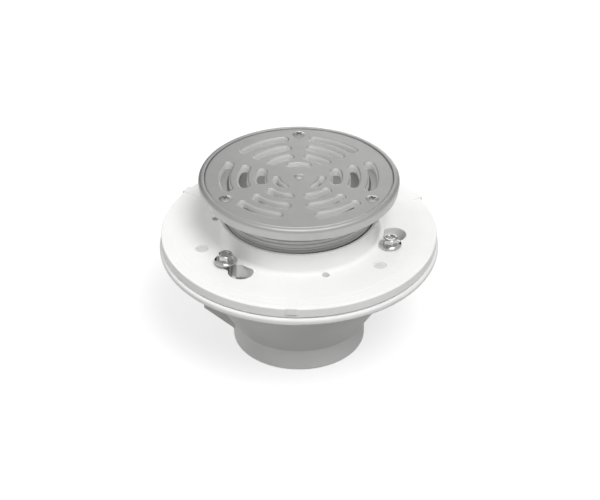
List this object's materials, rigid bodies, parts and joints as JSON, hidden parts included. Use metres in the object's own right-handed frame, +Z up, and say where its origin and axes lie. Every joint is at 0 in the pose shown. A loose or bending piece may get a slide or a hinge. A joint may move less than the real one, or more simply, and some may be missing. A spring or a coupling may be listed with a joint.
{
  "type": "shower drain",
  "caption": "Round clamping floor drain for a tiled shower, with a pipe hub, a bowl and flange, a keyholed ring and a slotted strainer on a threaded shank.",
  "frame": {"origin": "centre of the pipe hub's lower end, on the drain's axis", "axes": "+Z up the drain's axis, out of the floor; -Y towards the wide blank spoke of the strainer, which faces the viewer in the picture; +X to the viewer's right"},
  "size_m": [0.151, 0.151, 0.1023],
  "materials": {
    "body_plastic": "white, smooth moulded",
    "ring_plastic": "white, smooth moulded",
    "bolt_steel": "bright, cold formed",
    "shank_metal": "satin, turned and threaded",
    "plate_metal": "satin",
    "screw_steel": "satin"
  },
  "bodies": {
    "drain": {"drain_body": "body_plastic", "clamp_bolts": "bolt_steel"},
    "ring": {"clamping_ring": "ring_plastic"},
    "strainer": {"strainer_shank": "shank_metal", "strainer_plate": "plate_metal", "strainer_screws": "screw_steel"}
  },
  "joints": [
    {"name": "ring_turn", "type": "hinge", "parent": "drain", "child": "ring", "pos_m": [0, 0, 0.064], "axis": [0, 0, 1], "range_deg": [-12, 0]},
    {"name": "strainer_height", "type": "slide", "parent": "ring", "child": "strainer", "axis": [0, 0, 1], "range_m": [-0.0147, 0.01]}
  ]
}
